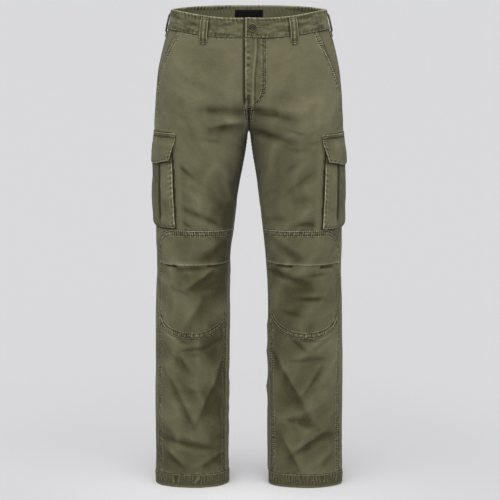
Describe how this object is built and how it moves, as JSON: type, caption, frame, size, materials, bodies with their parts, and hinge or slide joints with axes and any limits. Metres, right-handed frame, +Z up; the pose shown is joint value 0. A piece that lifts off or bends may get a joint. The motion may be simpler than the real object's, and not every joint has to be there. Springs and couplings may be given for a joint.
{
  "type": "cargo trousers",
  "caption": "Straight-leg cotton twill cargo trousers filled out with no wearer, with open waist and hems, bellows thigh pockets under flaps and articulated knee panels.",
  "frame": {"origin": "centre of the waist opening, 23.5 mm below the band's top edge at the sides, where the wearer's waist holds the garment up", "axes": "+Z up towards the waist, -Y the front, +X the wearer's left"},
  "size_m": [0.4428, 0.2412, 1.0858],
  "materials": {
    "olive_twill": "washed cotton twill",
    "olive_twill_inner": "inner face of the twill",
    "black_label": "woven, matt",
    "zip_tape": "woven tape",
    "button_metal": "aged dark metal"
  },
  "bodies": {
    "root": {"back_left": "olive_twill", "back_right": "olive_twill", "belt_loop_back": "olive_twill", "belt_loop_front_left": "olive_twill", "belt_loop_front_right": "olive_twill", "belt_loop_side_left": "olive_twill", "belt_loop_side_right": "olive_twill", "button": "button_metal", "cargo_flap_left": "olive_twill", "cargo_flap_right": "olive_twill", "cargo_pocket_left": "olive_twill", "cargo_pocket_right": "olive_twill", "fly": "olive_twill", "front_left": "olive_twill", "front_right": "olive_twill", "hand_pocket_left": "olive_twill", "hand_pocket_right": "olive_twill", "hem_left": "olive_twill", "hem_right": "olive_twill", "knee_lower_left": "olive_twill", "knee_lower_right": "olive_twill", "knee_upper_left": "olive_twill", "knee_upper_right": "olive_twill", "label_patch": "black_label", "shin_left": "olive_twill", "shin_right": "olive_twill", "waistband": "olive_twill", "waistband_facing": "olive_twill_inner", "zip_tape": "zip_tape"}
  },
  "joints": []
}
